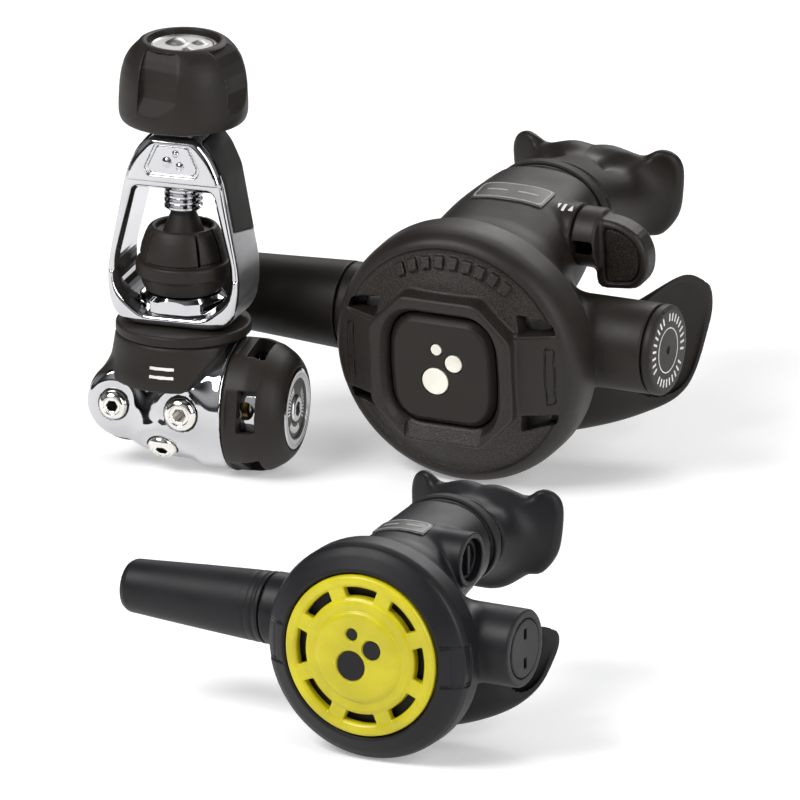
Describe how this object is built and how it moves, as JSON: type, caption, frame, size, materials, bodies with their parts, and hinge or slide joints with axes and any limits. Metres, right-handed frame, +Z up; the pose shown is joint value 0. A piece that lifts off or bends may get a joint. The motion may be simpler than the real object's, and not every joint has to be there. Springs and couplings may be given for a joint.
{
  "type": "scuba regulator set",
  "caption": "Yoke first stage with a black handwheel, with a round black second stage and a smaller octopus second stage that has a bright yellow purge cover.",
  "frame": {"origin": "middle of the flat foot under the first stage's diaphragm end, on the surface that all three units stand on", "axes": "+Z up along the yoke screw; +X along the first stage's body towards its diaphragm end; -Y out of its port plugs, towards the octopus"},
  "size_m": [0.2334, 0.4077, 0.1445],
  "materials": {
    "polished_chrome": "polished",
    "satin_chrome": "satin",
    "plug_chrome": "satin",
    "spring_steel": "drawn",
    "brass": "machined",
    "sintered_bronze": "porous",
    "black_rubber": "matte",
    "warm_black_plastic": "fine grain",
    "cool_black_plastic": "fine grain",
    "black_silicone": "satin",
    "clear_silicone": "satin",
    "seal_rubber": "satin",
    "yellow_plastic": "satin",
    "grey_disc": "printed",
    "silver_label": "satin"
  },
  "bodies": {
    "first_stage": {"body_block": "polished_chrome", "body_shroud": "black_rubber", "body_collar": "black_rubber", "yoke": "polished_chrome", "yoke_side_pads": "black_rubber", "inlet_retainer": "polished_chrome", "inlet_filter": "sintered_bronze", "o_rings": "seal_rubber", "port_plugs": "plug_chrome", "orifice_crown": "brass", "balance_plug": "brass", "main_poppet_spring": "spring_steel", "ip_diaphragm": "seal_rubber", "main_spring": "spring_steel", "spring_carrier": "polished_chrome", "adjusting_screw": "grey_disc", "end_cap": "black_rubber"},
    "main_valve_train": {"main_poppet": "brass", "lifter_pin": "spring_steel", "spring_pad": "brass"},
    "screw_foot": {"screw_foot": "black_rubber"},
    "handwheel": {"yoke_screw": "polished_chrome", "handwheel": "black_rubber", "handwheel_disc": "grey_disc"},
    "dust_cap": {"dust_cap": "black_rubber"},
    "primary_second_stage": {"primary_case": "warm_black_plastic", "primary_cover": "warm_black_plastic", "primary_label_plate": "silver_label", "primary_valve_tube": "satin_chrome", "primary_tube_cap": "warm_black_plastic", "primary_poppet_spring": "spring_steel", "primary_diaphragm": "clear_silicone", "primary_exhaust_tee": "black_silicone", "primary_mouthpiece": "black_silicone", "primary_mouthpiece_tie": "black_silicone"},
    "primary_purge": {"primary_purge_button": "warm_black_plastic"},
    "primary_plate": {"primary_diaphragm_plate": "spring_steel"},
    "primary_lever_arm": {"primary_demand_lever": "spring_steel"},
    "primary_poppet": {"primary_valve_poppet": "brass"},
    "primary_exhaust_flap": {"primary_exhaust_valve": "clear_silicone"},
    "primary_hose_end": {"primary_swivel_nut": "satin_chrome", "primary_hose_boot": "black_rubber"},
    "octopus_second_stage": {"octopus_case": "cool_black_plastic", "octopus_cover_ring": "cool_black_plastic", "octopus_label_plate": "silver_label", "octopus_valve_tube": "satin_chrome", "octopus_tube_cap": "cool_black_plastic", "octopus_poppet_spring": "spring_steel", "octopus_diaphragm": "clear_silicone", "octopus_exhaust_tee": "black_silicone", "octopus_mouthpiece": "black_silicone", "octopus_mouthpiece_tie": "black_silicone"},
    "octopus_purge": {"octopus_purge_cover": "yellow_plastic"},
    "octopus_plate": {"octopus_diaphragm_plate": "spring_steel"},
    "octopus_lever_arm": {"octopus_demand_lever": "spring_steel"},
    "octopus_poppet": {"octopus_valve_poppet": "brass"},
    "octopus_exhaust_flap": {"octopus_exhaust_valve": "clear_silicone"},
    "octopus_hose_end": {"octopus_swivel_nut": "satin_chrome", "octopus_hose_boot": "black_rubber"},
    "primary_adjuster": {"primary_adjustment_lever": "warm_black_plastic"}
  },
  "joints": [
    {"name": "main_valve_travel", "type": "slide", "parent": "first_stage", "child": "main_valve_train", "axis": [-1, 0, 0], "range_m": [0, 0.0005], "stiffness_N_per_m": 2000, "deforming": ["ip_diaphragm", "main_spring", "main_poppet_spring"]},
    {"name": "screw_travel", "type": "slide", "parent": "first_stage", "child": "screw_foot", "axis": [0, 0, 1], "range_m": [0, 0.014]},
    {"name": "handwheel_turn", "type": "hinge", "parent": "screw_foot", "child": "handwheel", "pos_m": [-0.0145, 0, 0.1], "axis": [0, 0, 1], "range_deg": [0, 2520]},
    {"name": "dust_cap_spin", "type": "hinge", "parent": "first_stage", "child": "dust_cap", "pos_m": [-0.0145, 0, 0.07], "axis": [0, 0, 1], "continuous": true},
    {"name": "primary_lift", "type": "slide", "parent": "first_stage", "child": "primary_second_stage", "axis": [0, 0, 1], "range_m": [0, 0.25]},
    {"name": "primary_purge_press", "type": "slide", "parent": "primary_second_stage", "child": "primary_purge", "axis": [0.1213, 0.9878, 0.0976], "range_m": [0, 0.003], "stiffness_N_per_m": 600},
    {"name": "primary_diaphragm_travel", "type": "slide", "parent": "primary_second_stage", "child": "primary_plate", "axis": [0.1213, 0.9878, 0.0976], "range_m": [0, 0.003], "deforming": ["primary_diaphragm"]},
    {"name": "primary_lever_tilt", "type": "hinge", "parent": "primary_second_stage", "child": "primary_lever_arm", "pos_m": [0.08834, 0.01903, 0.04619], "axis": [-0.0119, -0.0969, 0.9952], "range_deg": [-9, 0]},
    {"name": "primary_poppet_travel", "type": "slide", "parent": "primary_second_stage", "child": "primary_poppet", "axis": [0.9925, -0.1219, 0], "range_m": [0, 0.0006], "deforming": ["primary_poppet_spring"]},
    {"name": "primary_exhaust_open", "type": "slide", "parent": "primary_second_stage", "child": "primary_exhaust_flap", "axis": [0.0779, 0.6348, -0.7687], "range_m": [0, 0.001], "stiffness_N_per_m": 150},
    {"name": "primary_hose_swivel", "type": "hinge", "parent": "primary_second_stage", "child": "primary_hose_end", "pos_m": [0.02196, 0.03641, 0.04709], "axis": [-0.9925, 0.1219, 0], "continuous": true},
    {"name": "octopus_lift", "type": "slide", "parent": "first_stage", "child": "octopus_second_stage", "axis": [0, 0, 1], "range_m": [0, 0.25]},
    {"name": "octopus_purge_press", "type": "slide", "parent": "octopus_second_stage", "child": "octopus_purge", "axis": [0.1616, 0.9869, 0], "range_m": [0, 0.003], "stiffness_N_per_m": 600},
    {"name": "octopus_diaphragm_travel", "type": "slide", "parent": "octopus_second_stage", "child": "octopus_plate", "axis": [0.1616, 0.9869, 0], "range_m": [0, 0.003], "deforming": ["octopus_diaphragm"]},
    {"name": "octopus_lever_tilt", "type": "hinge", "parent": "octopus_second_stage", "child": "octopus_lever_arm", "pos_m": [0.14732, -0.26239, 0.038], "axis": [0, 0, 1], "range_deg": [-9, 0]},
    {"name": "octopus_poppet_travel", "type": "slide", "parent": "octopus_second_stage", "child": "octopus_poppet", "axis": [0.9869, -0.1616, 0], "range_m": [0, 0.0006], "deforming": ["octopus_poppet_spring"]},
    {"name": "octopus_exhaust_open", "type": "slide", "parent": "octopus_second_stage", "child": "octopus_exhaust_flap", "axis": [0.1056, 0.645, -0.7568], "range_m": [0, 0.001], "stiffness_N_per_m": 150},
    {"name": "octopus_hose_swivel", "type": "hinge", "parent": "octopus_second_stage", "child": "octopus_hose_end", "pos_m": [0.08748, -0.24418, 0.038], "axis": [-0.9869, 0.1616, 0], "continuous": true},
    {"name": "primary_adjuster_turn", "type": "hinge", "parent": "primary_second_stage", "child": "primary_adjuster", "pos_m": [0.1108, 0.04601, 0.07521], "axis": [0.9925, -0.1219, 0], "range_deg": [0, 70]}
  ],
  "couplings": [
    {"joint": "screw_travel", "follows": "handwheel_turn", "m_per_rad": 0.00031828},
    {"joint": "primary_diaphragm_travel", "follows": "primary_purge_press", "ratio": 1},
    {"joint": "primary_lever_tilt", "follows": "primary_purge_press", "rad_per_m": -50},
    {"joint": "primary_poppet_travel", "follows": "primary_purge_press", "ratio": 0.19},
    {"joint": "octopus_diaphragm_travel", "follows": "octopus_purge_press", "ratio": 1},
    {"joint": "octopus_lever_tilt", "follows": "octopus_purge_press", "rad_per_m": -50},
    {"joint": "octopus_poppet_travel", "follows": "octopus_purge_press", "ratio": 0.19}
  ]
}
